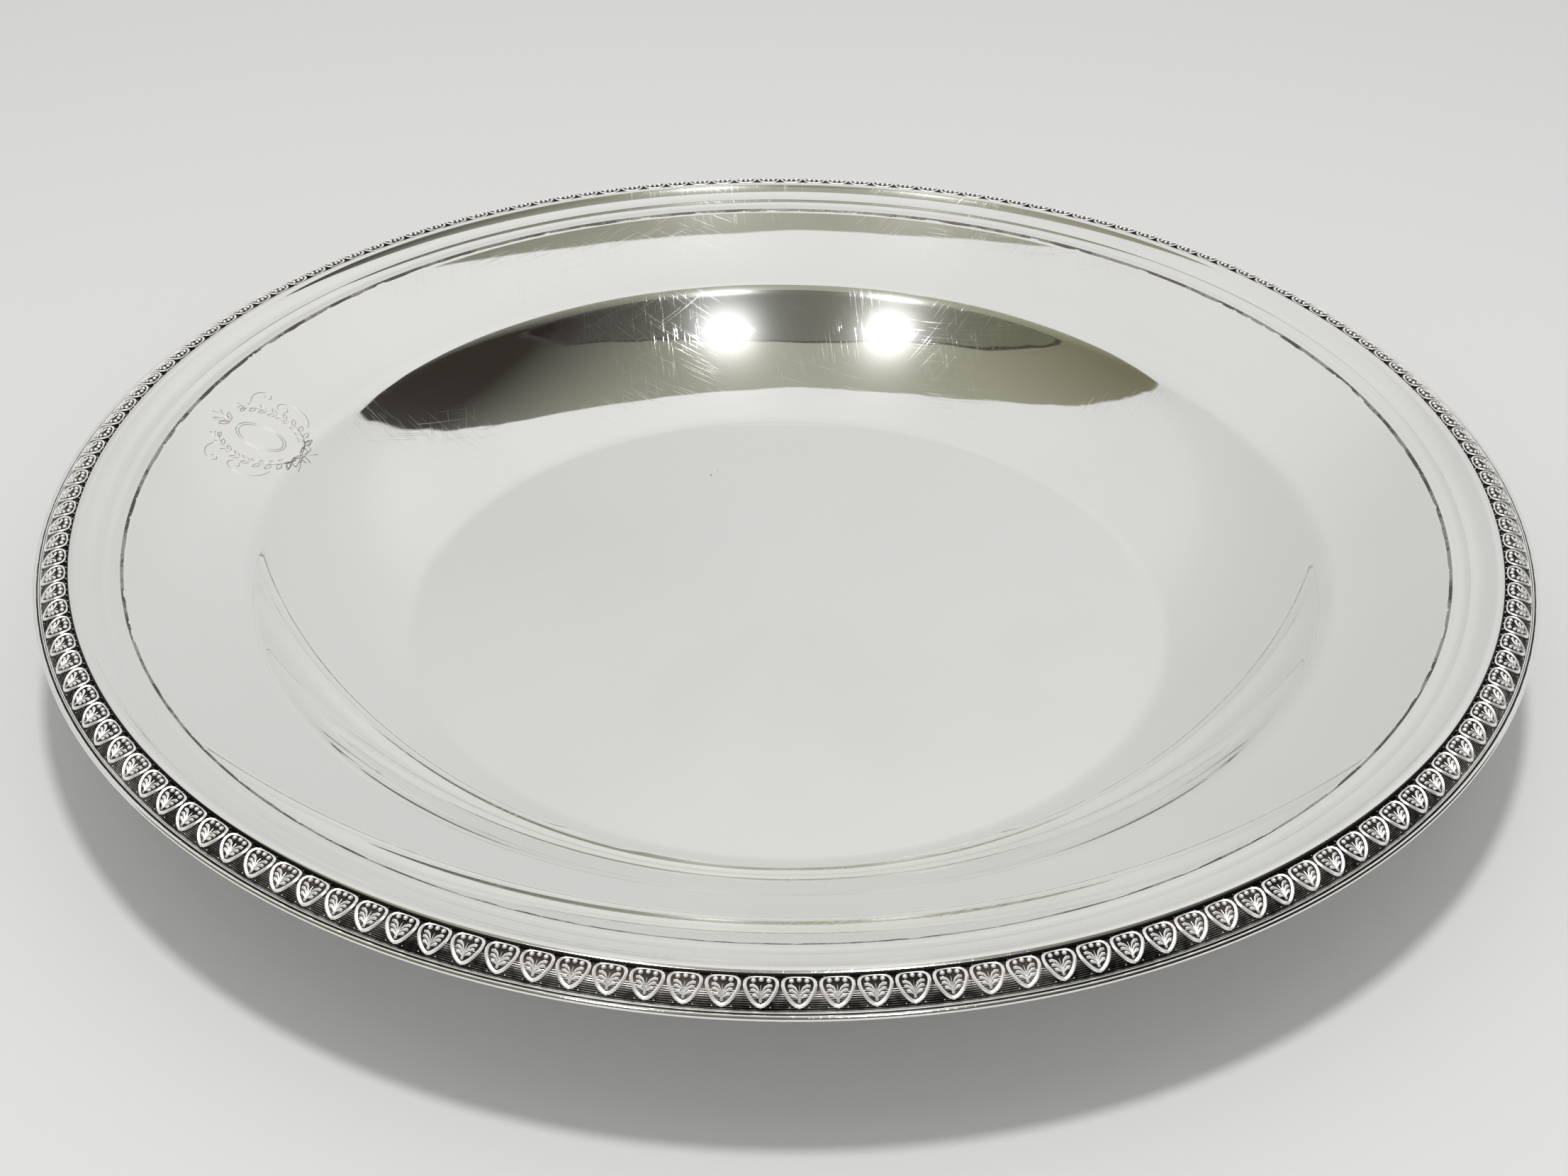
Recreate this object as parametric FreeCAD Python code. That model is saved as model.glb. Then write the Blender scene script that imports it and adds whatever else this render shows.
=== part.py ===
import FreeCAD, Part
import os
from math import acos, asin, atan2, cos, pi, radians, sin, sqrt

# Round silver offering plate with an applied palmette border, in millimetres.
# The origin is the centre of the face it rests on, and +Z is up.
# Every piece is a ring or a disc about +Z, so each one is an outline in the
# (radius, height) plane turned once about that axis.

# Spun dish
sheetThickness = 1.0
floorRadius = 80.0            # flat floor of the well, on its upper face
wallRun = 32.4                # from the floor's edge out to the shoulder
wallStartAngle = 15.5         # degrees that the wall rises at the crease round the floor
wellDepth = 21.0              # from the floor up to the shoulder
shoulderRound = 7.0           # radius of the well's rounded edge
rimRun = 20.7                 # from the shoulder out to the seam with the border
rimRise = 9.0                 # from the shoulder up to the flange under the border
rimStartAngle = 14.4          # degrees that the broad rim rises at the shoulder

# Applied moulding, seated on the flange
seamGap = 0.4                 # width left for the solder at the moulding's foot
footRise = 0.25               # height of the moulding's thin inner edge
innerFilletWidth = 1.1
innerFilletRise = 0.17
smallCoveWidth = 2.2
smallCoveRise = 0.80
smallCoveSag = 0.22
outerFilletWidth = 1.3
outerFilletRise = 0.25
coveWidth = 3.15
coveRise = 1.72
coveSag = 0.42
crestWidth = 2.15             # from the cove to the wall beside the palmettes
crestRise = 0.25              # rounded top above the end of the cove
crestDrop = 0.65              # from the end of the cove down to the crest's outer edge
quirk = 0.10                  # small step at each edge of a fillet

# Palmette strip, seated on the flange and on the rim wire's ledge
stripWidth = 5.0
stripInnerHeight = 3.08       # from the flange to the inner edge of its rounded top
stripOuterHeight = 0.68
stripBulge = 0.76             # rounded top above the straight line between its edges
channelWidth = 0.425          # shallow channel between the crest and the rounded top
channelDepth = 0.43

# Rim wire, which wraps the dish's edge and carries the strip's outer edge on a ledge
ledgeWidth = 1.4
lipRadius = 0.5               # plain rounded lip, centred level with the flange
lipStartAngle = 150.0         # degrees from straight out, where the lip leaves the bead
lipEndAngle = -50.0
notchWidth = 0.15             # narrow groove beside the strip
beadWidth = 0.517             # fine bead between the groove and the lip
beadRise = 0.23               # less than half its width
wireDepth = 0.5               # how far the wire reaches below the flange
wireFlat = 0.7                # flat under the wire

# Solder
rimSolderLeg = 0.5

halfTurn = 180.0
arcStep = radians(50)         # a tight arc is drawn as several arcs of about this much

# Places that follow from the sizes above
wallStart = radians(wallStartAngle)
rimStart = radians(rimStartAngle)
shoulderRadius = floorRadius + wallRun
shoulderHeight = sheetThickness + wellDepth
seamRadius = shoulderRadius + rimRun
flangeHeight = shoulderHeight + rimRise
flangeUnder = flangeHeight - sheetThickness
mouldingInner = seamRadius + seamGap
stripInner = (mouldingInner + innerFilletWidth + smallCoveWidth + outerFilletWidth
              + coveWidth + crestWidth)
stripOuter = stripInner + stripWidth
wireInner = stripOuter - ledgeWidth
beadInner = stripOuter + notchWidth
beadOuter = beadInner + beadWidth
lipCentre = (beadOuter - lipRadius * cos(radians(lipStartAngle)), flangeHeight)


def point(radius, height):
    return FreeCAD.Vector(radius, 0, height)


def line(start, end):
    return Part.LineSegment(point(*start), point(*end)).toShape()


def arc(start, middle, end):
    return Part.Arc(point(*start), point(*middle), point(*end)).toShape()


def bulgeArc(start, end, bulge):
    """Arc between two outline points, bulging to the left of the way it runs."""
    run, rise = end[0] - start[0], end[1] - start[1]
    chord = sqrt(run ** 2 + rise ** 2)
    middle = ((start[0] + end[0]) / 2 - bulge * rise / chord,
              (start[1] + end[1]) / 2 + bulge * run / chord)
    return arc(start, middle, end)


def onCircle(centre, radius, angle):
    """Point on a circle, with the angle in radians from straight out."""
    return (centre[0] + radius * cos(angle), centre[1] + radius * sin(angle))


def arcAbout(centre, radius, startAngle, endAngle):
    middleAngle = (startAngle + endAngle) / 2
    return arc(onCircle(centre, radius, startAngle), onCircle(centre, radius, middleAngle),
               onCircle(centre, radius, endAngle))


def tightArcs(centre, radius, startAngle, endAngle):
    """A tight arc about a centre, as equal arcs of about arcStep each."""
    count = max(1, round(abs(endAngle - startAngle) / arcStep))
    step = (endAngle - startAngle) / count
    return [arcAbout(centre, radius, startAngle + step * index, startAngle + step * (index + 1))
            for index in range(count)]


def turned(edges):
    """The outline turned once about the axis, as two half turns so that both sides match."""
    face = Part.Face(Part.Wire(edges))
    centre, up = FreeCAD.Vector(0, 0, 0), FreeCAD.Vector(0, 0, 1)
    front = face.revolve(centre, up, halfTurn)
    back = face.revolve(centre, up, -halfTurn)
    return front.fuse(back).Solids[0]


def dishBody():
    """Flat floor, hollow wall, rounded shoulder, broad rim and flat flange, of even sheet."""
    # The wall's arc starts at a crease round the floor and is tangent to the shoulder's arc,
    # which is tangent to the rim.
    shoulderCentre = (shoulderRadius + shoulderRound * sin(rimStart),
                      shoulderHeight - shoulderRound * cos(rimStart))
    across = shoulderCentre[0] - floorRadius
    above = shoulderCentre[1] - sheetThickness
    wallRadius = ((across ** 2 + above ** 2 - shoulderRound ** 2)
                  / (2 * (shoulderRound + above * cos(wallStart) - across * sin(wallStart))))
    wallCentre = (floorRadius - wallRadius * sin(wallStart),
                  sheetThickness + wallRadius * cos(wallStart))
    wallSlope = asin((shoulderCentre[0] - wallCentre[0]) / (wallRadius + shoulderRound))
    underWallStart = acos(wallCentre[1] / (wallRadius + sheetThickness))
    floorUnder = wallCentre[0] + (wallRadius + sheetThickness) * sin(underWallStart)

    # The broad rim is one arc from the shoulder to the seam.
    rimEnd = 2 * atan2(rimRise, rimRun) - rimStart
    rimRadius = rimRun / (sin(rimEnd) - sin(rimStart))
    rimCentre = (shoulderRadius - rimRadius * sin(rimStart),
                 shoulderHeight + rimRadius * cos(rimStart))
    underRadius = rimRadius + sheetThickness
    underEnd = asin((flangeUnder - rimCentre[1]) / underRadius)
    underCorner = onCircle(rimCentre, underRadius, underEnd)

    def skin(offset, wallStartSlope, rimEndAngle):
        """Wall, shoulder and rim arcs of one face of the sheet, offset below the upper face."""
        return [arcAbout(wallCentre, wallRadius + offset, wallStartSlope - pi / 2, wallSlope - pi / 2),
                arcAbout(shoulderCentre, shoulderRound - offset,
                         wallSlope + pi / 2, rimStart + pi / 2),
                arcAbout(rimCentre, rimRadius + offset, rimStart - pi / 2, rimEndAngle)]

    edges = [line((0, 0), (0, sheetThickness)),
             line((0, sheetThickness), (floorRadius, sheetThickness))]
    edges += skin(0, wallStart, rimEnd - pi / 2)
    edges += [line((seamRadius, flangeHeight), (wireInner, flangeHeight)),
              line((wireInner, flangeHeight), (wireInner, flangeUnder)),
              line((wireInner, flangeUnder), underCorner)]
    edges += reversed(skin(sheetThickness, underWallStart, underEnd))
    edges.append(line((floorUnder, 0), (0, 0)))
    return turned(edges)


def borderMoulding():
    """Two fillets, two coves and a rounded crest on one flat-backed drawn strip."""
    base = flangeHeight
    foot = (mouldingInner, base + footRise)
    innerFillet = (foot[0] + innerFilletWidth, foot[1] + innerFilletRise)
    smallCoveStart = (innerFillet[0], innerFillet[1] - quirk)
    outerFilletStart = (innerFillet[0] + smallCoveWidth, innerFillet[1] + smallCoveRise)
    smallCoveEnd = (outerFilletStart[0], outerFilletStart[1] - quirk)
    outerFillet = (outerFilletStart[0] + outerFilletWidth, outerFilletStart[1] + outerFilletRise)
    coveStart = (outerFillet[0], outerFillet[1] - quirk)
    coveEnd = (coveStart[0] + coveWidth, outerFillet[1] + coveRise)
    crestTop = ((coveEnd[0] + stripInner) / 2, coveEnd[1] + crestRise)
    crestEnd = (stripInner, coveEnd[1] - crestDrop)
    return turned([
        line((mouldingInner, base), foot),
        line(foot, innerFillet),
        line(innerFillet, smallCoveStart),
        bulgeArc(smallCoveStart, smallCoveEnd, -smallCoveSag),
        line(smallCoveEnd, outerFilletStart),
        line(outerFilletStart, outerFillet),
        line(outerFillet, coveStart),
        bulgeArc(coveStart, coveEnd, -coveSag),
        arc(coveEnd, crestTop, crestEnd),
        line(crestEnd, (stripInner, base)),
        line((stripInner, base), (mouldingInner, base))])


def palmetteStrip():
    """Rolled strip whose rounded top is the height of the palmettes' relief."""
    base = flangeHeight
    topInner = (stripInner + channelWidth, base + stripInnerHeight)
    topOuter = (stripOuter, base + stripOuterHeight)
    channel = (stripInner, topInner[1] - channelDepth)
    channelEnd = (topInner[0], channel[1])
    return turned([
        line((stripInner, base), channel),
        line(channel, channelEnd),
        line(channelEnd, topInner),
        bulgeArc(topInner, topOuter, stripBulge),
        line(topOuter, (stripOuter, base)),
        line((stripOuter, base), (stripInner, base))])


def rimWire():
    """Rabbeted wire: ledge for the strip, fine bead and plain rounded lip."""
    base = flangeHeight
    bottom = flangeUnder - wireDepth
    lipStart, lipEnd = radians(lipStartAngle), radians(lipEndAngle)
    lipBottom = onCircle(lipCentre, lipRadius, lipEnd)
    beadFoot = onCircle(lipCentre, lipRadius, lipStart)[1]
    beadHalf = beadWidth / 2
    beadRound = (beadHalf ** 2 + beadRise ** 2) / (2 * beadRise)
    beadCentre = (beadInner + beadHalf, beadFoot + beadRise - beadRound)
    beadAngle = asin(beadHalf / beadRound)
    edges = [line((wireInner, bottom), (wireInner, base)),
             line((wireInner, base), (stripOuter, base)),
             line((stripOuter, base), (stripOuter, beadFoot)),
             line((stripOuter, beadFoot), (beadInner, beadFoot))]
    edges += tightArcs(beadCentre, beadRound, pi / 2 + beadAngle, pi / 2 - beadAngle)
    edges += tightArcs(lipCentre, lipRadius, lipStart, lipEnd)
    edges += [line(lipBottom, (wireInner + wireFlat, bottom)),
              line((wireInner + wireFlat, bottom), (wireInner, bottom))]
    return turned(edges)


def seamSolder():
    """Fillet of solder in the corner between the broad rim and the moulding's foot."""
    seam = (seamRadius, flangeHeight)
    corner = (mouldingInner, flangeHeight)
    top = (mouldingInner, flangeHeight + footRise)
    return turned([line(seam, top), line(top, corner), line(corner, seam)])


def rimSolder():
    """Fillet of solder under the flange, against the rim wire."""
    corner = (wireInner, flangeUnder)
    inner = (wireInner - rimSolderLeg, flangeUnder)
    bottom = (wireInner, flangeUnder - rimSolderLeg)
    return turned([line(corner, inner), line(inner, bottom), line(bottom, corner)])


pieces = {
    "dish_body": dishBody,
    "border_moulding": borderMoulding,
    "palmette_strip": palmetteStrip,
    "rim_wire": rimWire,
    "seam_solder": seamSolder,
    "rim_solder": rimSolder,
}

os.makedirs("parts", exist_ok=True)
for node, make in pieces.items():
    solid = make()
    solid.exportStep("parts/" + node + ".step")
    print(node, "solid" if solid.isValid() else "BAD", "volume", round(solid.Volume, 1))
print("plate radius", round(lipCentre[0] + lipRadius, 3), "flange height", round(flangeHeight, 3))
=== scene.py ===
from math import acos, asin, atan2, cos, degrees, hypot, pi, radians, sin, tan

import bpy
from mathutils import Matrix, Vector, noise


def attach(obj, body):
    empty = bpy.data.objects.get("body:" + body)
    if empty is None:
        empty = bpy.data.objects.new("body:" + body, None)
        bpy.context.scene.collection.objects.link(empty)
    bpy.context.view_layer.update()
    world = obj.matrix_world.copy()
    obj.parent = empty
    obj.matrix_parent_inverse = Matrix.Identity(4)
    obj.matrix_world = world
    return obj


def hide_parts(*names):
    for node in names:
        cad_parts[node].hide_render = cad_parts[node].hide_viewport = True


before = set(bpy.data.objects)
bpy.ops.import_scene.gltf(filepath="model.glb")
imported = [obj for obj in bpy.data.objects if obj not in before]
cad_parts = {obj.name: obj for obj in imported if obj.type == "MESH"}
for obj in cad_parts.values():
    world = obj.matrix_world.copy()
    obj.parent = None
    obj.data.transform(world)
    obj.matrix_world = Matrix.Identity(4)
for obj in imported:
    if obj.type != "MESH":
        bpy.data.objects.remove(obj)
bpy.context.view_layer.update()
mm = 0.001  # the pieces' sizes are in millimetres, the studio's and the camera's in metres
scene = bpy.context.scene
print("frame loaded:", len(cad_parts), "nodes")


def deselectAll():
    for thing in list(bpy.context.selected_objects):
        thing.select_set(False)


def arcPoints(centre, radius, start, stop, step=2.0):
    # points of an arc, in (radius, height), from one angle to another in degrees
    count = max(2, round(abs(stop - start) / step))
    angles = [radians(start + (stop - start) * i / count) for i in range(count + 1)]
    return [(centre[0] + radius * cos(a), centre[1] + radius * sin(a)) for a in angles]


def sagArc(first, last, sag, count=6):
    # points of the arc between two points that stands off its chord by sag, to the left of the way along
    (ax, ay), (bx, by) = first, last
    half = hypot(bx - ax, by - ay) / 2
    along = ((bx - ax) / (2 * half), (by - ay) / (2 * half))
    left = (-along[1], along[0])
    radius = (half * half + sag * sag) / (2 * abs(sag))
    side = 1 if sag > 0 else -1
    turn = 2 * atan2(abs(sag), half)
    points = []
    for i in range(count + 1):
        a = -turn + 2 * turn * i / count
        out = radius * cos(a) - (radius - abs(sag))
        x = ax + along[0] * (half + radius * sin(a)) + left[0] * side * out
        y = ay + along[1] * (half + radius * sin(a)) + left[1] * side * out
        points.append((x, y))
    return points


def drawOutline(name, points):
    # one corner drawn out from point to point, in the plane of the axis
    places = [Vector((r * mm, 0, z * mm)) for r, z in points]
    deselectAll()
    bpy.ops.mesh.primitive_plane_add(size=mm, location=(0, 0, 0))
    piece = bpy.context.object
    piece.name = name
    piece.data.name = name
    bpy.ops.object.mode_set(mode="EDIT")
    bpy.ops.mesh.select_all(action="SELECT")
    bpy.ops.mesh.merge(type="CENTER")
    bpy.ops.transform.translate(value=places[0])
    for here, there in zip(places, places[1:]):
        bpy.ops.mesh.extrude_vertices_move(TRANSFORM_OT_translate={"value": there - here})
    return piece


def turnOutline(name, points, steps=360, smooth=28):
    # a round piece from its half section
    piece = drawOutline(name, points)
    bpy.ops.mesh.select_all(action="SELECT")
    bpy.ops.mesh.spin(steps=steps, angle=2 * pi, center=(0, 0, 0), axis=(0, 0, 1))
    bpy.ops.mesh.select_all(action="SELECT")
    bpy.ops.mesh.remove_doubles(threshold=0.002 * mm)
    bpy.ops.mesh.normals_make_consistent(inside=False)
    bpy.ops.object.mode_set(mode="OBJECT")
    bpy.ops.object.shade_smooth_by_angle(angle=radians(smooth))
    return piece


def finishPiece(piece, material, slot, *nodes):
    piece.data.materials.clear()
    piece.data.materials.append(material)
    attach(piece, "root")
    if nodes:
        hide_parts(*nodes)


class Shade:
    # one output of a shader tree, so that a sum on it reads as a sum
    def __init__(self, tree, socket=None):
        self.tree = tree
        self.socket = socket

    def node(self, kind, settings, sockets, output=0):
        made = self.tree.nodes.new("ShaderNode" + kind)
        for name, value in settings.items():
            if name == "stops":
                ramp = made.color_ramp
                while len(ramp.elements) < len(value):
                    ramp.elements.new(0.5)
                for element, (place, colour) in zip(ramp.elements, value):
                    element.position = place
                    element.color = (*colour, 1)
            else:
                setattr(made, name, value)
        for name, value in sockets.items():
            if isinstance(value, Shade):
                self.tree.links.new(value.socket, made.inputs[name])
            else:
                made.inputs[name].default_value = value
        return Shade(self.tree, made.outputs[output])

    def maths(self, operation, *values):
        return self.node("Math", {"operation": operation}, dict(enumerate(values)))

    def __add__(self, other):
        return self.maths("ADD", self, other)

    def __radd__(self, other):
        return self.maths("ADD", other, self)

    def __sub__(self, other):
        return self.maths("SUBTRACT", self, other)

    def __rsub__(self, other):
        return self.maths("SUBTRACT", other, self)

    def __mul__(self, other):
        return self.maths("MULTIPLY", self, other)

    def multiply(self, other):
        # a place or a colour, each part by its own factor
        return self.node("VectorMath", {"operation": "MULTIPLY"}, {0: self, 1: other})

    def distance(self, place):
        return self.node("VectorMath", {"operation": "DISTANCE"}, {0: self, 1: place}, 1)

    def clouds(self, scale, detail):
        # soft noise over this place, about scale blots to the metre
        return self.node("TexNoise", {}, {"Vector": self, "Scale": scale, "Detail": detail})

    def ramp(self, stops):
        return self.node("ValToRGB", {"stops": stops}, {"Fac": self})

    def band(self, low, high):
        # 0 below low, 1 above high, smooth between
        settings = {"interpolation_type": "SMOOTHSTEP"}
        return self.node("MapRange", settings, {"Value": self, "From Min": low, "From Max": high})

    def mix(self, a, b):
        # this value fades colour a into colour b
        return self.node("Mix", {"data_type": "RGBA"}, {0: self, 6: a, 7: b}, 2)


def newMaterial(name):
    material = bpy.data.materials.new(name)
    material.use_nodes = True
    shader = material.node_tree.nodes["Principled BSDF"]
    return material, shader, Shade(material.node_tree)


def feed(shader, **links):
    # a value set on the shader's own socket, or a link to it
    names = {"colour": "Base Color", "roughness": "Roughness", "metallic": "Metallic", "normal": "Normal"}
    for key, value in links.items():
        socket = shader.inputs[names[key]]
        if isinstance(value, Shade):
            value.tree.links.new(value.socket, socket)
        else:
            socket.default_value = value


def between(share, values):
    # goes from the first value to the second as share goes from 0 to 1
    first, last = values
    return first + share * (last - first)


def showSurface(material, surface):
    output = material.node_tree.nodes["Material Output"]
    material.node_tree.links.new(surface.socket, output.inputs["Surface"])


silver = {
    "colour": (0.95, 0.95, 0.935, 1),
    "tint": (0.91, 0.905, 0.885, 1),  # where the polish is clouded
    "clouds": 14.0,         # blots to the metre
    "tintBand": (0.4, 0.8),  # thickness of the clouds where the tint starts, and where it is full
    "roughness": (0.015, 0.035),  # of the mirror, clear and clouded
    "dullBand": (0.45, 0.8),
    "haze": 0.24,           # roughness of what fine turning marks scatter
    "hazeBand": (0.3, 0.8),
    "hazeShare": 0.06,      # how much of the light the haze takes, everywhere
    "cloudShare": 0.05,     # in the clouds
    "lineShare": 0.35,      # and in the hairlines
    "anisotropy": 0.85,
    "anisotropyTurn": 0.25,
    "waves": 22.0,
    "waveHeight": 0.03,
    "lineDepth": 0.0015,
    # each set's turn in radians, length, width, and patches to the metre
    "hairlines": [(0.3, 12, 0.22, 31), (1.4, 9, 0.20, 27), (2.5, 15, 0.24, 23)],
    "lineBand": (0.64, 0.72),
    "patchBand": (0.46, 0.60),
    # each speck's radius and degrees round, and its size
    "specks": [((57.4, 108.0), 0.28), ((85.4, -22.5), 0.34), ((58.9, 106.0), 0.16), ((87.6, -24.2), 0.2)],
    "speckCore": 0.6,
    # painted shade in grooves and creases: how soft its edges are, and how much duller the silver is there
    "paintedShadeEdge": 0.05,
    "paintedShadeDull": 0.4,
}

oxide = {
    "dark": (0.020, 0.018, 0.018, 1),
    "brown": (0.075, 0.060, 0.052, 1),
    "bright": (0.90, 0.885, 0.86, 1),
    "spots": 900.0,
    "drift": 60.0,
    "uneven": 0.3,
    "brownBand": (0.4, 0.65),
    "rubbed": (0.36, 0.68),     # height at which the rubbing starts, and where it is complete
    "metallic": (0.95, 0.63),   # in the hollows, and where it is rubbed
    "roughness": (0.42, 0.26),
    "spotRoughness": 0.06,
}

solder = {
    "grey": (0.13, 0.12, 0.105, 1),
    "light": (0.42, 0.40, 0.37, 1),
    "patches": 120.0,
    "grains": 1400.0,
    "grainShare": 0.4,
    "grainHeight": 0.05,
    "cleanBand": (0.42, 0.62),
    "roughness": (0.5, 0.25),   # grey and clean
}


def hairlines(where, turn, length, width, patches):
    # long thin marks that all run one way, here and there
    lying = where.node("Mapping", {}, {"Vector": where, "Rotation": (0, 0, turn)})
    drawn = lying.multiply((1 / (length * mm), 1 / (width * mm), 1 / (length * mm)))
    lines = drawn.clouds(1.0, 1.0).band(*silver["lineBand"])
    return lines * where.clouds(patches, 1.0).band(*silver["patchBand"])


def paintedShadeBetween(where, inner, outer):
    # where shade is painted: 1 between two radii, 0 inside and outside
    edge = silver["paintedShadeEdge"]
    reach = where.multiply((1, 1, 0)).distance((0, 0, 0))
    past = reach.band((inner - edge) * mm, (inner + edge) * mm)
    beyond = reach.band((outer - edge) * mm, (outer + edge) * mm)
    return past * (1 - beyond)


def polishedSilver(name, paintedShade=None, specks=()):
    # a sharp mirror under a thin haze of turning marks and hairlines, with painted shade between the two
    # radii given for it
    material, shader, start = newMaterial(name)
    where = start.node("TexCoord", {}, {}, "Object")
    cloud = where.clouds(silver["clouds"], 3.0)
    marks = sum(hairlines(where, *line) for line in silver["hairlines"])
    colour = cloud.band(*silver["tintBand"]).mix(silver["colour"], silver["tint"])
    roughness = between(cloud.band(*silver["dullBand"]), silver["roughness"])
    for (radius, turn), size in specks:
        spot = Vector((radius * cos(radians(turn)), radius * sin(radians(turn)), dish["thickness"])) * mm
        away = where.distance(spot)
        colour = away.band(size * silver["speckCore"] * mm, size * mm).mix(oxide["brown"], colour)
    # painted shade: the silver darkened and dulled between the two radii, where a groove or crease lies in
    # shade
    if paintedShade:
        paintedShadeMask = paintedShadeBetween(where, *paintedShade)
        colour = paintedShadeMask.mix(colour, oxide["dark"])
        roughness = roughness + paintedShadeMask * silver["paintedShadeDull"]
    waves = where.clouds(silver["waves"], 1.0) * (silver["waveHeight"] * mm)
    heights = waves - marks * (silver["lineDepth"] * mm)
    normal = start.node("Bump", {}, {"Height": heights, "Distance": 1.0, "Strength": 1.0})
    feed(shader, colour=colour, metallic=1.0, roughness=roughness, normal=normal)
    hazy = start.node("BsdfPrincipled", {}, {"Metallic": 1.0, "Roughness": silver["haze"],
                                             "Anisotropic": silver["anisotropy"],
                                             "Anisotropic Rotation": silver["anisotropyTurn"]})
    feed(hazy.socket.node, colour=colour, normal=normal)
    share = silver["hazeShare"] + cloud.band(*silver["hazeBand"]) * silver["cloudShare"]
    share = share + marks * silver["lineShare"]
    bright = Shade(material.node_tree, shader.outputs[0])
    showSurface(material, start.node("MixShader", {}, {0: share, 1: bright, 2: hazy}))
    return material


def oxidisedSilver(name):
    # dark in the hollows, rubbed bright on what stands up
    material, shader, start = newMaterial(name)
    where = start.node("TexCoord", {}, {}, "Object")
    relief = start.node("Attribute", {"attribute_name": "relief"}, {}, "Fac")
    spots = where.clouds(oxide["spots"], 2.0)
    drift = where.clouds(oxide["drift"], 2.0)
    uneven = (spots - 0.5) * oxide["uneven"] + (drift - 0.5) * oxide["uneven"]
    rubbed = (relief + uneven).band(*oxide["rubbed"])
    hollow = drift.band(*oxide["brownBand"]).mix(oxide["dark"], oxide["brown"])
    roughness = between(rubbed, oxide["roughness"]) + spots * oxide["spotRoughness"]
    feed(shader, colour=rubbed.mix(hollow, oxide["bright"]), roughness=roughness)
    feed(shader, metallic=between(rubbed, oxide["metallic"]))
    return material


def solderedSilver(name):
    # grey and grainy, with cleaner patches
    material, shader, start = newMaterial(name)
    where = start.node("TexCoord", {}, {}, "Object")
    grains = where.clouds(solder["grains"], 2.0)
    patches = where.clouds(solder["patches"], 3.0) + (grains - 0.5) * solder["grainShare"]
    clean = patches.band(*solder["cleanBand"])
    heights = grains * (solder["grainHeight"] * mm)
    feed(shader, colour=clean.mix(solder["grey"], solder["light"]), metallic=1.0)
    feed(shader, roughness=between(clean, solder["roughness"]))
    feed(shader, normal=start.node("Bump", {}, {"Height": heights, "Distance": 1.0}))
    return material


# the dish: floor, wall, shoulder, broad rim and flange, spun from one sheet

dish = {
    "thickness": 1.0,
    "floorRadius": 80.0,
    "floorRings": [0, 12, 24, 36, 48, 58, 66, 72, 76, 78.5],  # they keep the flat floor's shading flat
    "lastRing": 0.5,       # at least this far inside the crease
    "wallStart": 15.5,     # degrees, at the crease round the floor
    "creaseRound": 12.0,
    "wallRun": 32.4,
    "wellDepth": 21.0,
    "shoulderRound": 7.0,
    "rimStart": 14.4,      # degrees
    "rimRun": 20.7,
    "rimRise": 9.0,
    "flangeStart": 0.6,    # past the seam
    "flangeEnd": 147.0,
    "turns": 384,
}


def dishShape():
    # centres and radii of the wall, the shoulder's bend and the rim, the angles where they end, and the seam
    floor = dish["floorRadius"]
    gauge = dish["thickness"]
    bend = dish["shoulderRound"]
    start = radians(dish["wallStart"])
    rimStart = radians(dish["rimStart"])
    mouth = floor + dish["wallRun"]
    top = gauge + dish["wellDepth"]
    bendCentre = (mouth + bend * sin(rimStart), top - bend * cos(rimStart))
    across = bendCentre[0] - floor
    above = bendCentre[1] - gauge
    wall = (across ** 2 + above ** 2 - bend ** 2) / (2 * (bend + above * cos(start) - across * sin(start)))
    wallCentre = (floor - wall * sin(start), gauge + wall * cos(start))
    steep = asin((bendCentre[0] - wallCentre[0]) / (wall + bend))
    rimEnd = 2 * atan2(dish["rimRise"], dish["rimRun"]) - rimStart
    rim = dish["rimRun"] / (sin(rimEnd) - sin(rimStart))
    rimCentre = (mouth - rim * sin(rimStart), top + rim * cos(rimStart))
    return {
        "wall": (wallCentre, wall),
        "bend": (bendCentre, bend),
        "rim": (rimCentre, rim),
        "steep": degrees(steep),
        "rimEnd": degrees(rimEnd),
        "seam": (mouth + dish["rimRun"], top + dish["rimRise"]),
    }


shape = dishShape()


def dishFace(off):
    # the upper face from the axis out to the seam, and at one thickness off it the lower face
    height = dish["thickness"] - off
    crease = dish["creaseRound"]
    wallCentre, wall = shape["wall"]
    bendCentre, bend = shape["bend"]
    rimCentre, rim = shape["rim"]
    start = degrees(acos((wallCentre[1] - height) / (wall + off)))
    steep = shape["steep"]
    edge = wallCentre[0] + (wall + off) * sin(radians(start))
    half = crease * tan(radians(start / 2))
    points = [(r, height) for r in dish["floorRings"] if r < edge - half - dish["lastRing"]]
    points += arcPoints((edge - half, height + crease), crease, -90, start - 90)
    points += arcPoints(wallCentre, wall + off, start + degrees(half / wall) - 90, steep - 90, 1.0)[1:]
    points += arcPoints(bendCentre, bend - off, 90 + steep, 90 + dish["rimStart"], 2.5)[1:]
    points += arcPoints(rimCentre, rim + off, dish["rimStart"] - 90, shape["rimEnd"] - 90, 0.8)[1:]
    return points


def dishOutline():
    gauge = dish["thickness"]
    seam, flange = shape["seam"]
    start = seam + dish["flangeStart"]
    end = dish["flangeEnd"]
    upper = dishFace(0) + [(start, flange), (end, flange)]
    lower = dishFace(gauge) + [(start, flange - gauge), (end, flange - gauge)]
    return upper + lower[::-1]


dishBody = turnOutline("dishBody", dishOutline(), dish["turns"], 60)
finishPiece(dishBody, polishedSilver("dishSilver", specks=silver["specks"]), "polished_silver", "dish_body")
print("dish turned:", len(dishBody.data.polygons), "faces")

# the applied moulding: foot, small cove, fillet, large cove and rounded crest, in (radius, height)

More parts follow.
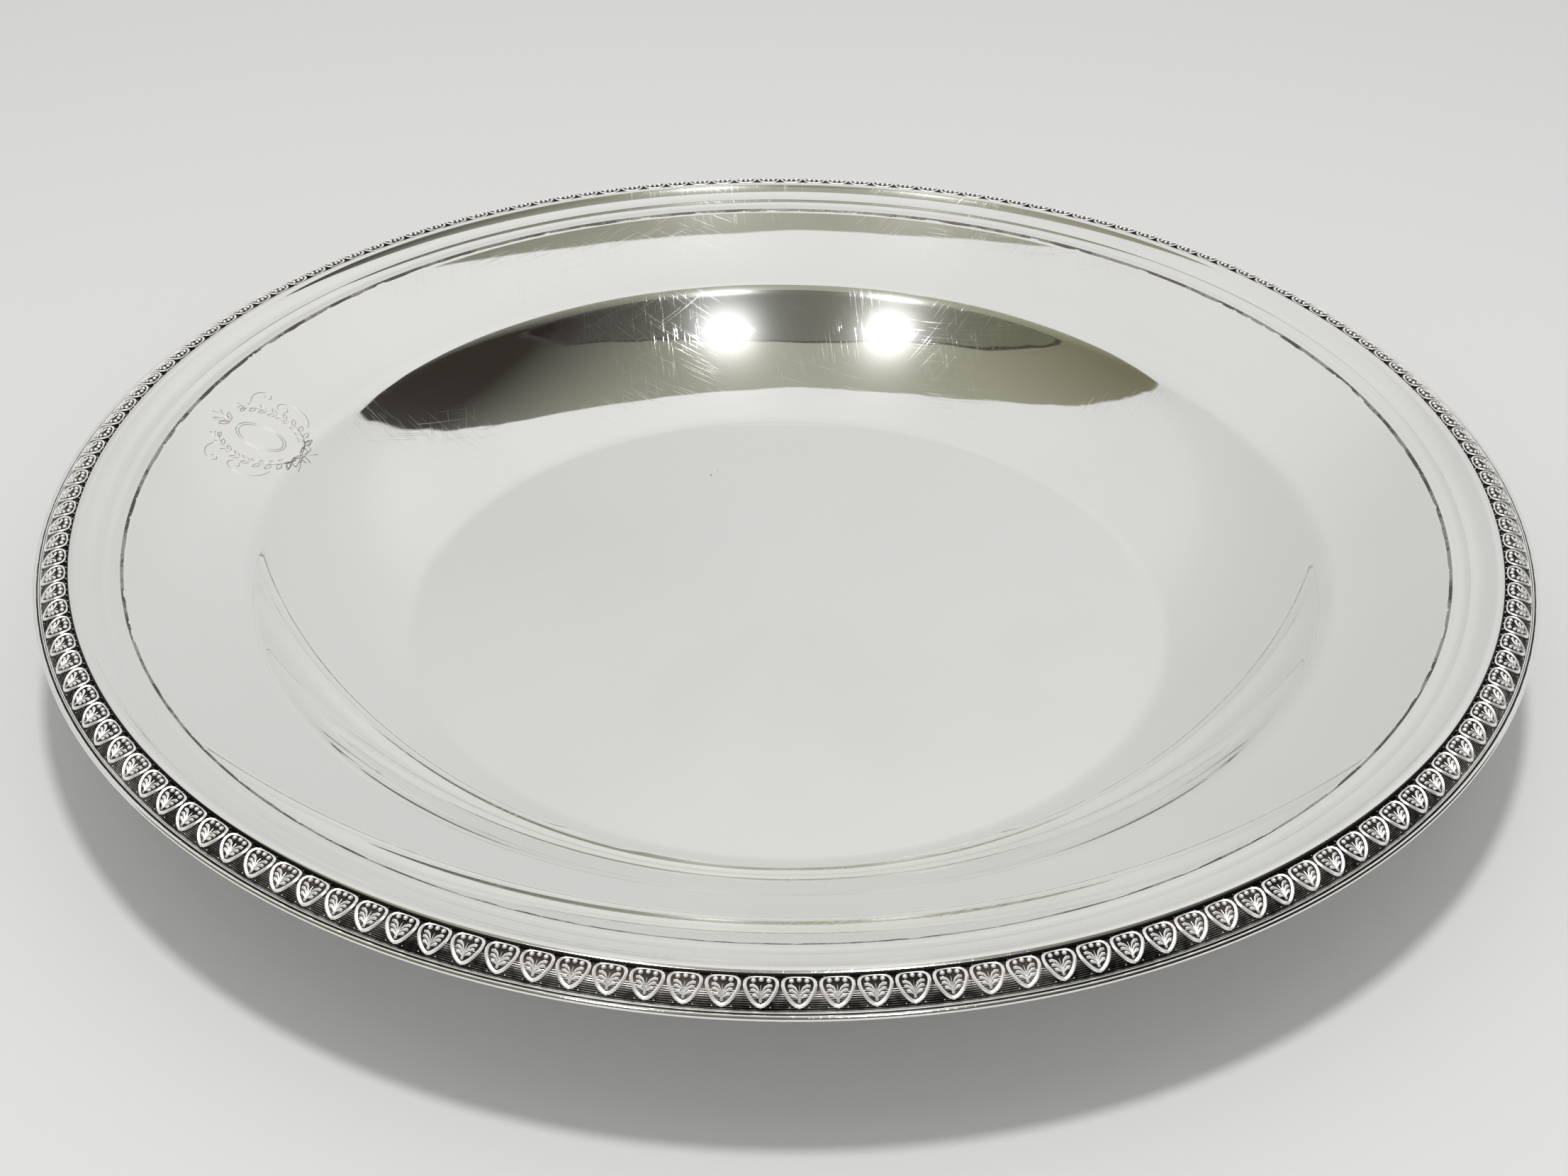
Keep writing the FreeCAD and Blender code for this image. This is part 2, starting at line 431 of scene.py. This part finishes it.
moulding = {
    "seat": 31.0,
    "foot": [(133.5, 31.25), (133.9, 31.31), (134.6, 31.37)],
    "smallCoveEnd": (136.8, 32.12),
    "smallCoveSag": 0.22,
    "fillet": [(136.8, 32.24), (137.4, 32.34), (138.1, 32.42)],
    "coveSag": 0.24,
    "crestStart": (141.25, 34.19),
    "crestEnd": (143.4, 33.54),
    "crestSag": 0.5,
    "paintedShade": (142.85, 144.0),  # painted shade between these radii, on the crest's flank beside the groove
}


def mouldingOutline():
    foot = moulding["foot"]
    fillet = moulding["fillet"]
    crest = moulding["crestStart"]
    end = moulding["crestEnd"]
    corner = (foot[0][0], moulding["seat"])
    return (
        [corner] + foot
        + sagArc(foot[-1], moulding["smallCoveEnd"], -moulding["smallCoveSag"])[1:]
        + fillet
        + sagArc(fillet[-1], crest, -moulding["coveSag"], 10)[1:]
        + sagArc(crest, end, moulding["crestSag"], 10)[1:]
        + [(end[0], moulding["seat"]), corner]
    )


borderMoulding = turnOutline("borderMoulding", mouldingOutline())
mouldingSilver = polishedSilver("mouldingSilver", moulding["paintedShade"])
finishPiece(borderMoulding, mouldingSilver, "polished_silver", "border_moulding")

# the rim wire: a ledge under the strip, a fine bead and the plain lip

wire = {
    "ledge": [(147.0, 29.5), (147.0, 31.0), (148.4, 31.0), (148.4, 31.25), (148.55, 31.25)],
    "beadSag": 0.23,
    "lipCentre": (149.5, 31.0),
    "lipRadius": 0.5,
    "lipTurn": (150, -50),      # degrees, from the bead round to underneath
    "heel": (147.7, 29.5),
    "paintedShade": (148.90, 149.10),  # painted shade between these radii, in the crease beside the bead
}


def wireOutline():
    lip = arcPoints(wire["lipCentre"], wire["lipRadius"], *wire["lipTurn"], 15)
    bead = sagArc(wire["ledge"][-1], lip[0], wire["beadSag"])
    return wire["ledge"] + bead[1:-1] + lip + [wire["heel"], wire["ledge"][0]]


rimWire = turnOutline("rimWire", wireOutline())
finishPiece(rimWire, polishedSilver("wireSilver", wire["paintedShade"]), "polished_silver", "rim_wire")

# both fillets of solder

seam = {
    "outline": [(132.9, 30.9), (133.2, 31.09), (133.5, 31.27), (133.5, 31.0), (133.1, 30.95), (132.9, 30.9)],
    "radius": 133.0,
    "free": 133.3,      # what lies inside this radius strays
    "stray": 0.16,
    "waves": [(40, 1, 0), (150, 0.5, 4)],  # each noise's scale, its share, and the level it is read at
}

underRim = {
    "outline": [(147.0, 30.0), (146.5, 30.0), (147.0, 29.5), (147.0, 30.0)],
}


def straySolder(piece):
    # the inner edge runs in and out as it flowed
    for point in piece.data.vertices:
        if hypot(point.co.x, point.co.y) >= seam["free"] * mm:
            continue
        turn = atan2(point.co.y, point.co.x)
        stray = 0
        for scale, share, level in seam["waves"]:
            stray += share * noise.noise((scale * cos(turn), scale * sin(turn), level))
        point.co.xy *= 1 - seam["stray"] * stray / seam["radius"]


silverSolder = solderedSilver("silverSolder")
seamSolder = turnOutline("seamSolder", seam["outline"])
straySolder(seamSolder)
finishPiece(seamSolder, silverSolder, "silver_solder", "seam_solder")
rimSolder = turnOutline("rimSolder", underRim["outline"])
finishPiece(rimSolder, silverSolder, "silver_solder", "rim_solder")
print("border turned")

# the strip: a rounded band with a lined ground; heights on it count from the rubbed top of its ornament

strip = {
    "centre": (144.23, 29.35),  # of its rounded section
    "round": 4.77,
    "inner": 94.9,              # degrees, where the section starts beside the crest
    "groove": 99.3,             # degrees, where the ground starts, down in the groove
    "linesFrom": 66.0,          # degrees, between which the ground is lined
    "outer": 26.5,
    "relief": 0.40,
    "lines": 9,
    "lineHeight": 0.19,
    "line": [(0.3, 0), (0.5, 1), (0.75, 1), (0.95, 0)],  # shares of the pitch and of the height
    "innerFoot": [(143.4, 31.0), (143.4, 33.4), (143.5, 33.4)],
    "outerFoot": [(148.4, 31.35), (148.4, 31.0)],
    "count": 155,
    "first": -14.61,            # degrees, where one palmette points
    "middle": 146.3,            # radius at which a palmette has its drawn width
}


def onStrip(across, along, height):
    # a place on the strip: across round it, along from the crest outwards
    angle = radians(strip["inner"]) - along / strip["round"]
    reach = strip["round"] + height
    radius = strip["centre"][0] + reach * cos(angle)
    turn = radians(strip["first"]) + across / strip["middle"]
    return Vector((radius * cos(turn), radius * sin(turn), strip["centre"][1] + reach * sin(angle))) * mm


def stripOutline():
    reach = strip["round"] - strip["relief"]
    ground = arcPoints(strip["centre"], reach, strip["groove"], strip["linesFrom"], 4)
    pitch = (strip["linesFrom"] - strip["outer"]) / strip["lines"]
    for line in range(strip["lines"]):
        for share, rise in strip["line"]:
            angle = radians(strip["linesFrom"] - pitch * (line + share))
            out = reach + rise * strip["lineHeight"]
            ground.append((strip["centre"][0] + out * cos(angle), strip["centre"][1] + out * sin(angle)))
    return strip["innerFoot"] + ground + strip["outerFoot"] + strip["innerFoot"][:1]


def markRelief(piece, standing=True):
    # how far each corner stands up from the strip's ground, 0 to 1; 0 for what lies in the hollows
    marks = piece.data.attributes.new("relief", "FLOAT", "POINT")
    for point, mark in zip(piece.data.vertices, marks.data):
        out = hypot(point.co.x, point.co.y) / mm - strip["centre"][0]
        up = point.co.z / mm - strip["centre"][1]
        share = (hypot(out, up) - strip["round"] + strip["relief"]) / strip["relief"]
        mark.value = min(1, max(0, share)) if standing else 0


def startFlat(name):
    # an empty piece in edit mode, to draw bars and beads in; sizes are millimetres until it is laid on
    deselectAll()
    bpy.ops.mesh.primitive_plane_add(size=1, location=(0, 0, 0))
    piece = bpy.context.object
    piece.name = name
    piece.data.name = name
    bpy.ops.object.mode_set(mode="EDIT")
    bpy.ops.mesh.select_all(action="SELECT")
    bpy.ops.mesh.delete(type="VERT")
    return piece


def drawBar(points, radii, sides=6):
    # a bar drawn out from point to point on the flat, in edit mode
    places = [Vector((x, y, 0)) for x, y in points]
    ways = [there - here for here, there in zip(places, places[1:])]
    headings = [atan2(way.y, way.x) for way in ways]
    heading = headings[0]
    bpy.ops.mesh.primitive_circle_add(vertices=sides, radius=radii[0], fill_type="NGON", location=places[0],
                                      rotation=(pi / 2, 0, heading + pi / 2))
    for i, way in enumerate(ways):
        bpy.ops.mesh.extrude_region_move(TRANSFORM_OT_translate={"value": way})
        onward = headings[min(i + 1, len(headings) - 1)]
        bend = (onward - headings[i] + pi) % (2 * pi) - pi
        wanted = headings[i] + bend / 2
        turn = (wanted - heading + pi) % (2 * pi) - pi
        bpy.ops.transform.rotate(value=-turn, orient_axis="Z", center_override=places[i + 1])
        grow = radii[i + 1] / radii[i]
        bpy.ops.transform.resize(value=(grow, grow, grow), center_override=places[i + 1])
        heading = wanted


def drawBeads(places, radius, lift, segments, rings):
    for x, y in places:
        bpy.ops.mesh.primitive_uv_sphere_add(segments=segments, ring_count=rings, radius=radius,
                                             location=(x, y, lift))


def finishFlat(piece, place, smooth=50):
    # lays each corner on the round object with place, then turns the faces outwards
    bpy.ops.object.mode_set(mode="OBJECT")
    for point in piece.data.vertices:
        point.co = place(point.co)
    bpy.ops.object.mode_set(mode="EDIT")
    bpy.ops.mesh.select_all(action="SELECT")
    bpy.ops.mesh.normals_make_consistent(inside=False)
    bpy.ops.object.mode_set(mode="OBJECT")
    bpy.ops.object.shade_smooth_by_angle(angle=radians(smooth))


def copyRound(piece, count):
    # copies of all of the piece, evenly round the axis
    bpy.ops.object.mode_set(mode="EDIT")
    bpy.ops.mesh.select_all(action="SELECT")
    bpy.ops.mesh.spin(steps=count - 1, dupli=True, angle=2 * pi * (count - 1) / count,
                      center=(0, 0, 0), axis=(0, 0, 1))
    bpy.ops.object.mode_set(mode="OBJECT")


# one palmette, drawn on the flat with its tip outwards (y), laid on the strip and copied round it

palmette = {
    "frame": [(0, 4.98), (0.55, 4.78), (1.08, 4.38), (1.58, 3.86), (2.02, 3.24), (2.36, 2.54), (2.54, 1.82),
              (2.5, 1.16), (2.24, 0.62), (1.78, 0.28), (1.2, 0.12), (0.6, 0.05), (0, 0.03)],
    "frameBars": [0.34, 0.33, 0.33, 0.33, 0.33, 0.33, 0.32, 0.31, 0.29, 0.25, 0.19, 0.15, 0.14],
    "leaves": [
        [(0.10, 3.55), (0.26, 2.75), (0.68, 2.12), (1.24, 1.84), (1.74, 1.86)],
        [(0.13, 3.80), (0.32, 3.22), (0.70, 2.82), (1.16, 2.62), (1.58, 2.62)],
        [(0.16, 4.00), (0.34, 3.70), (0.62, 3.48), (0.94, 3.36), (1.24, 3.36)],
    ],
    "leafBars": [0.07, 0.12, 0.22, 0.33, 0.24],
    "stem": [(0, 1.7), (0, 2.6), (0, 3.7), (0, 4.14), (0, 4.42)],
    "stemBars": [0.06, 0.08, 0.10, 0.29, 0.22],
    "stretch": 1.075,       # along the strip's section, from the tip back
    "pearls": [(-1.2, 0.95), (0, 0.76), (1.2, 0.95)],
    "pearl": 0.43,
    "pearlLift": 0.08,
    "tipBeads": [(-1.5, 5.12), (1.5, 5.12)],
    "tipBead": 0.13,
    "ties": 3,              # across the groove, to each palmette
    "tie": [(-0.62, 0.08), (-0.05, 0.08)],  # its two ends: place along, and radius
    "sink": 0.22,           # how far the bars' middles lie below the rubbed top
    "fieldSink": 0.24,
    "fieldDepth": 0.1,
}


def mirrored(points):
    return [(-x, y) for x, y in points]


def frameLine():
    # all round, from the middle of the broad end
    side = palmette["frame"]
    return mirrored(side)[:0:-1] + side[:-1]


def laidPalmette(place):
    tip = palmette["frame"][0][1]
    return onStrip(place.x, tip - (tip - place.y) * palmette["stretch"], place.z - palmette["sink"])


def makeFrames():
    piece = startFlat("palmetteFrames")
    line = frameLine()
    bars = palmette["frameBars"]
    drawBar(line + line[:1], bars[:0:-1] + bars)
    return piece


def makeFields():
    # the dark ground inside each frame
    piece = startFlat("palmetteFields")
    height = palmette["sink"] - palmette["fieldSink"]
    places = [Vector((x, y, height)) for x, y in frameLine()]
    bpy.ops.mesh.primitive_circle_add(vertices=len(places), radius=1, fill_type="NGON", location=(0, 0, 0))
    bpy.ops.object.mode_set(mode="OBJECT")
    for point, place in zip(piece.data.vertices, places):
        point.co = place
    bpy.ops.object.mode_set(mode="EDIT")
    bpy.ops.mesh.select_all(action="SELECT")
    bpy.ops.mesh.poke()
    bpy.ops.mesh.extrude_region_move(TRANSFORM_OT_translate={"value": (0, 0, -palmette["fieldDepth"])})
    return piece


def makeLeaves():
    piece = startFlat("palmetteLeaves")
    for leaf in palmette["leaves"]:
        drawBar(leaf, palmette["leafBars"])
        drawBar(mirrored(leaf), palmette["leafBars"])
    drawBar(palmette["stem"], palmette["stemBars"])
    return piece


def makePearls():
    # pearls, beads beside the tip, and ties across the groove
    piece = startFlat("palmettePearls")
    drawBeads(palmette["pearls"], palmette["pearl"], palmette["pearlLift"], 8, 6)
    drawBeads(palmette["tipBeads"], palmette["tipBead"], 0, 6, 4)
    pitch = 2 * pi * strip["middle"] / strip["count"] / palmette["ties"]
    (low, lowBar), (high, highBar) = palmette["tie"]
    for number in range(palmette["ties"]):
        x = pitch * (number - (palmette["ties"] - 1) / 2)
        drawBar([(x, low), (x, high)], [lowBar, highBar], 4)
    return piece


oxidised = oxidisedSilver("oxidisedSilver")
stripGround = turnOutline("stripGround", stripOutline(), smooth=20)
markRelief(stripGround)
finishPiece(stripGround, oxidised, "oxidised_silver", "palmette_strip")
for make, standing in ((makeFrames, True), (makeFields, False), (makeLeaves, True), (makePearls, True)):
    piece = make()
    finishFlat(piece, laidPalmette)
    markRelief(piece, standing)
    copyRound(piece, strip["count"])
    finishPiece(piece, oxidised, "oxidised_silver")
    print(piece.name, "copied:", len(piece.data.polygons), "faces")

# a wreath on the broad rim, in fine dark lines: a double oval, two leafy sprays, scrolls, a fan and a bow

engraving = {
    "radius": 119.2,           # of its middle
    "turn": 164.9,             # degrees round
    "scale": 1.15,
    "line": 0.09,
    "lineStep": 0.0025,        # each line is a little wider than the last, so that no two share a corner
    "lineEnds": (0.6, 0.4),    # share of the width at the first end and the last
    "sunk": 0.03,
    "ovals": [(3.5, 4.7), (3.0, 4.2)],
    "sprayRadius": 8.0,
    "sprayTurn": (-80, 48),    # degrees
    "firstLeaf": 16,           # degrees past the spray's start
    "leaves": 9,               # pairs
    "leafSize": (2.3, 0.42),
    "leafLean": 38,            # degrees, to each side of the stem
    "leafShrink": 0.3,         # over the length of the spray
    "endLeaf": 0.8,
    "leafSide": [(0, 0), (0.25, 0.8), (0.55, 1), (0.8, 0.55), (1, 0)],  # shares of its length and width
    "scroll": [(8.7, -5.2), (10.4, -4.6), (11.9, -3.0), (12.5, -0.8), (12.0, 1.2), (10.8, 2.2), (9.7, 1.8),
               (9.4, 0.7), (10.0, -0.1), (10.8, 0.1), (11.0, 0.8)],
    "tendril": [(7.2, 5.9), (9.0, 6.6), (10.8, 6.3), (11.9, 5.2), (11.7, 4.1), (10.8, 3.8), (10.3, 4.5),
                (10.8, 5.1)],
    "bow": [(0, -8.3), (1.6, -7.2), (3.2, -7.4), (3.0, -8.9), (1.2, -8.8), (0, -8.3), (0.9, -9.8),
            (1.9, -10.6)],
    "fanFrom": 6.1,
    "fan": [(-58, 2.4), (-30, 3.0), (0, 3.4), (30, 3.0), (58, 2.4)],  # degrees and length of each leaf
    "colour": (0.34, 0.31, 0.28, 1),
    "metallic": 0.8,
    "roughness": 0.45,
}


def onRim(place):
    # a place on the broad rim's upper face: x round to the right, y outwards, z above it
    centre, reach = shape["rim"]
    radius = engraving["radius"] + place.y * engraving["scale"]
    turn = radians(engraving["turn"]) - place.x * engraving["scale"] / engraving["radius"]
    face = centre[1] - (reach ** 2 - (radius - centre[0]) ** 2) ** 0.5
    return Vector((radius * cos(turn), radius * sin(turn), face + place.z - engraving["sunk"])) * mm


def leafLine(x, y, heading, length, width):
    # out along one side of a leaf and back along the other
    way = radians(heading)
    side = engraving["leafSide"]
    back = [(share, -spread) for share, spread in side[-2::-1]]
    points = []
    for share, spread in side + back:
        out = share * length
        off = spread * width
        points.append((x + out * cos(way) - off * sin(way), y + out * sin(way) + off * cos(way)))
    return points


def roundLine(points, passes=2):
    # cuts the corners of an open line
    for _ in range(passes):
        cut = [points[0]]
        for (ax, ay), (bx, by) in zip(points, points[1:]):
            cut.append((0.75 * ax + 0.25 * bx, 0.75 * ay + 0.25 * by))
            cut.append((0.25 * ax + 0.75 * bx, 0.25 * ay + 0.75 * by))
        points = cut + [points[-1]]
    return points


def halfWreath():
    # the lines of its right-hand side
    radius = engraving["sprayRadius"]
    start, stop = engraving["sprayTurn"]
    length, width = engraving["leafSize"]
    lean = engraving["leafLean"]
    stem = [(radius * cos(radians(a)), radius * sin(radians(a))) for a in range(start, stop + 1, 5)]
    lines = [stem] + [roundLine(engraving[name]) for name in ("scroll", "tendril", "bow")]
    for number in range(engraving["leaves"]):
        share = number / (engraving["leaves"] - 1)
        angle = start + engraving["firstLeaf"] + (stop - start - engraving["firstLeaf"]) * share
        x = radius * cos(radians(angle))
        y = radius * sin(radians(angle))
        size = 1 - engraving["leafShrink"] * share
        for heading in (angle + 90 - lean, angle + 90 + lean):
            lines.append(leafLine(x, y, heading, length * size, width * size))
    lines.append(leafLine(*stem[-1], stop + 90, length * engraving["endLeaf"], width))
    return lines


def wreathLines():
    half = halfWreath()
    lines = half + [mirrored(line) for line in half]
    for wide, tall in engraving["ovals"]:
        lines.append([(wide * sin(radians(a)), tall * cos(radians(a))) for a in range(0, 361, 12)])
    for heading, length in engraving["fan"]:
        lines.append(leafLine(0, engraving["fanFrom"], heading + 90, length, engraving["leafSize"][1]))
    return lines


def makeEngraving():
    piece = startFlat("rimEngraving")
    first, last = engraving["lineEnds"]
    for number, line in enumerate(wreathLines()):
        width = engraving["line"] * (1 + number * engraving["lineStep"])
        drawBar(line, [width * first] + [width] * (len(line) - 2) + [width * last], 4)
    return piece


def cutSilver(name):
    material, shader = newMaterial(name)[:2]
    feed(shader, colour=engraving["colour"])
    feed(shader, metallic=engraving["metallic"], roughness=engraving["roughness"])
    return material


rimEngraving = makeEngraving()
finishFlat(rimEngraving, onRim)
finishPiece(rimEngraving, cutSilver("cutSilver"), "polished_silver")
print("engraving laid:", len(rimEngraving.data.polygons), "faces")

# the studio: a pale cloth, a soft sky, two lamps that the silver mirrors, and a softbox for the cloth

studio = {
    "floorSize": 12.0,
    "floorDrop": 0.0001,        # the cloth doesn't share the plane of the base
    "cloth": (0.62, 0.62, 0.615, 1),
    "clothRoughness": 0.9,
    "world": (0.74, 0.74, 0.74, 1),
    "dome": 6.0,
    "domeFoot": 0.05,
    "lampDirections": [(0.149, -0.30, 0.93), (-0.251, -0.31, 0.905)],
    "lampDistance": 1.8,
    "lampSize": 0.22,
    "lampPower": 14.0,
    "keyDirection": (0.0, -0.2, 1.0),
    "keyDistance": 1.0,
    "keySize": 0.10,
    "keyPower": 5.0,
}

room = {
    # what the silver mirrors: a pale sky, and a dark room behind the viewer
    "lean": 0.14,        # its front edge comes forward with height
    "sideLean": 0.30,    # and to the right
    "front": 0.03,
    "frontWaver": 0.05,
    "frontSoft": 0.008,
    "ceiling": 0.28,     # slope of the fold between its walls and its ceiling
    "foldWaver": (0.2, 0.04),
    "foldSoft": 0.01,
    "foldLine": (0.004, 0.016),
    "foldColour": (0.05, 0.05, 0.045, 1),
    "slow": 2.4,
    "quick": 9.0,
    "left": (0.965, 0.965, 0.965, 1),  # the sky's tone to the left, and to the right
    "right": (1.035, 1.035, 1.035, 1),
    "skyTurn": 0.2,
    "sky": [(0.0, (0.64, 0.645, 0.63)), (0.4, (0.655, 0.66, 0.645)), (0.55, (0.68, 0.685, 0.67)),
            (0.66, (0.735, 0.74, 0.72)), (0.8, (0.755, 0.76, 0.74)), (1.0, (0.79, 0.795, 0.775))],
    "walls": [(0.1, (0.12, 0.12, 0.07)), (0.3, (0.16, 0.16, 0.12)), (0.5, (0.13, 0.13, 0.11)),
              (0.66, (0.10, 0.10, 0.08)), (0.76, (0.06, 0.055, 0.05)), (0.82, (0.02, 0.015, 0.012))],
    "above": [(0.1, (0.16, 0.15, 0.09)), (0.3, (0.30, 0.30, 0.22)), (0.5, (0.36, 0.36, 0.29)),
              (0.64, (0.26, 0.26, 0.20)), (0.74, (0.13, 0.13, 0.11)), (0.82, (0.03, 0.025, 0.02))],
}


def makeFloor():
    deselectAll()
    bpy.ops.mesh.primitive_plane_add(size=studio["floorSize"], location=(0, 0, -studio["floorDrop"]))
    floor = bpy.context.object
    floor.name = "stageFloor"
    material, shader = newMaterial("stageCloth")[:2]
    feed(shader, colour=studio["cloth"], roughness=studio["clothRoughness"])
    floor.data.materials.append(material)


def makeWorld():
    world = bpy.data.worlds.new("studioWorld")
    scene.world = world
    world.use_nodes = True
    background = world.node_tree.nodes["Background"]
    background.inputs["Color"].default_value = studio["world"]


def roomMaterial():
    # glows as the sky in front of the edge and as the room behind it
    material, shader, start = newMaterial("darkRoom")
    place = start.node("TexCoord", {}, {}, "Object")
    way = start.node("Mapping", {}, {"Vector": place, "Scale": (1 / studio["dome"],) * 3})
    across, deep, high = [start.node("SeparateXYZ", {}, {"Vector": way}, axis) for axis in ("X", "Y", "Z")]
    slow = way.clouds(room["slow"], 2.0) - 0.5
    quick = way.clouds(room["quick"], 2.0) - 0.5
    right = start.maths("MAXIMUM", across, 0.0)
    edge = high * room["lean"] + right * room["sideLean"] - deep
    edge = edge + room["front"] + quick * room["frontWaver"]
    fold = deep + high * room["ceiling"]
    fold = fold + slow * room["foldWaver"][0] + quick * room["foldWaver"][1]
    side = across * 0.5 + 0.5
    over = fold.band(-room["foldSoft"], room["foldSoft"])
    inside = over.mix(side.ramp(room["walls"]), side.ramp(room["above"]))
    inside = start.maths("ABSOLUTE", fold).band(*room["foldLine"]).mix(room["foldColour"], inside)
    tone = across.band(-room["skyTurn"], room["skyTurn"]).mix(room["left"], room["right"])
    sky = tone.multiply(high.ramp(room["sky"]))
    colour = edge.band(-room["frontSoft"], room["frontSoft"]).mix(sky, inside)
    showSurface(material, start.node("Emission", {}, {"Color": colour}))
    material.cycles.emission_sampling = "NONE"
    return material


def makeRoom():
    # part of a wide dome, seen only in the silver
    deselectAll()
    bpy.ops.mesh.primitive_uv_sphere_add(segments=64, ring_count=32, radius=studio["dome"],
                                         location=(0, 0, 0))
    dome = bpy.context.object
    dome.name = "stageRoom"
    bpy.ops.object.mode_set(mode="EDIT")
    bpy.ops.mesh.select_all(action="SELECT")
    bpy.ops.mesh.bisect(plane_co=(0, 0, studio["domeFoot"]), plane_no=(0, 0, 1), clear_inner=True)
    bpy.ops.object.mode_set(mode="OBJECT")
    dome.data.materials.append(roomMaterial())
    dome.visible_camera = False
    dome.visible_diffuse = False


def makeLamp(name, direction, distance, size, power):
    deselectAll()
    place = Vector(direction).normalized() * distance
    bpy.ops.object.light_add(type="AREA", location=place)
    lamp = bpy.context.object
    lamp.name = name
    lamp.data.shape = "DISK"
    lamp.data.size = size
    lamp.data.energy = power
    lamp.rotation_euler = place.to_track_quat("Z", "Y").to_euler()
    lamp.visible_camera = False
    lamp.visible_diffuse = False
    return lamp


def makeLamps():
    distance, size, power = studio["lampDistance"], studio["lampSize"], studio["lampPower"]
    for number, direction in enumerate(studio["lampDirections"]):
        makeLamp(f"lamp{number + 1}", direction, distance, size, power)
    distance, size, power = studio["keyDistance"], studio["keySize"], studio["keyPower"]
    key = makeLamp("softbox", studio["keyDirection"], distance, size, power)
    key.visible_diffuse = True
    key.visible_glossy = False  # it lights the cloth only, and isn't mirrored in the silver


view = {
    "place": (0.0, -0.4031, 0.2878),
    "below": 34.84,      # degrees that it looks down
    "swing": 0.06,
    "roll": 0.59,
    "lens": 53.25,
    "sensor": 36.0,
    "clip": 0.01,
}


def makeCamera():
    data = bpy.data.cameras.new("viewer")
    camera = bpy.data.objects.new("viewer", data)
    scene.collection.objects.link(camera)
    swing = Matrix.Rotation(radians(view["swing"]), 4, "Z")
    tilt = Matrix.Rotation(radians(90 - view["below"]), 4, "X")
    roll = Matrix.Rotation(radians(view["roll"]), 4, "Z")
    camera.matrix_world = Matrix.Translation(view["place"]) @ swing @ tilt @ roll
    data.lens = view["lens"]
    data.sensor_width = view["sensor"]
    data.clip_start = view["clip"]
    scene.camera = camera


makeFloor()
makeWorld()
makeRoom()
makeLamps()
makeCamera()
scene.view_settings.view_transform = "Standard"
print("studio set")
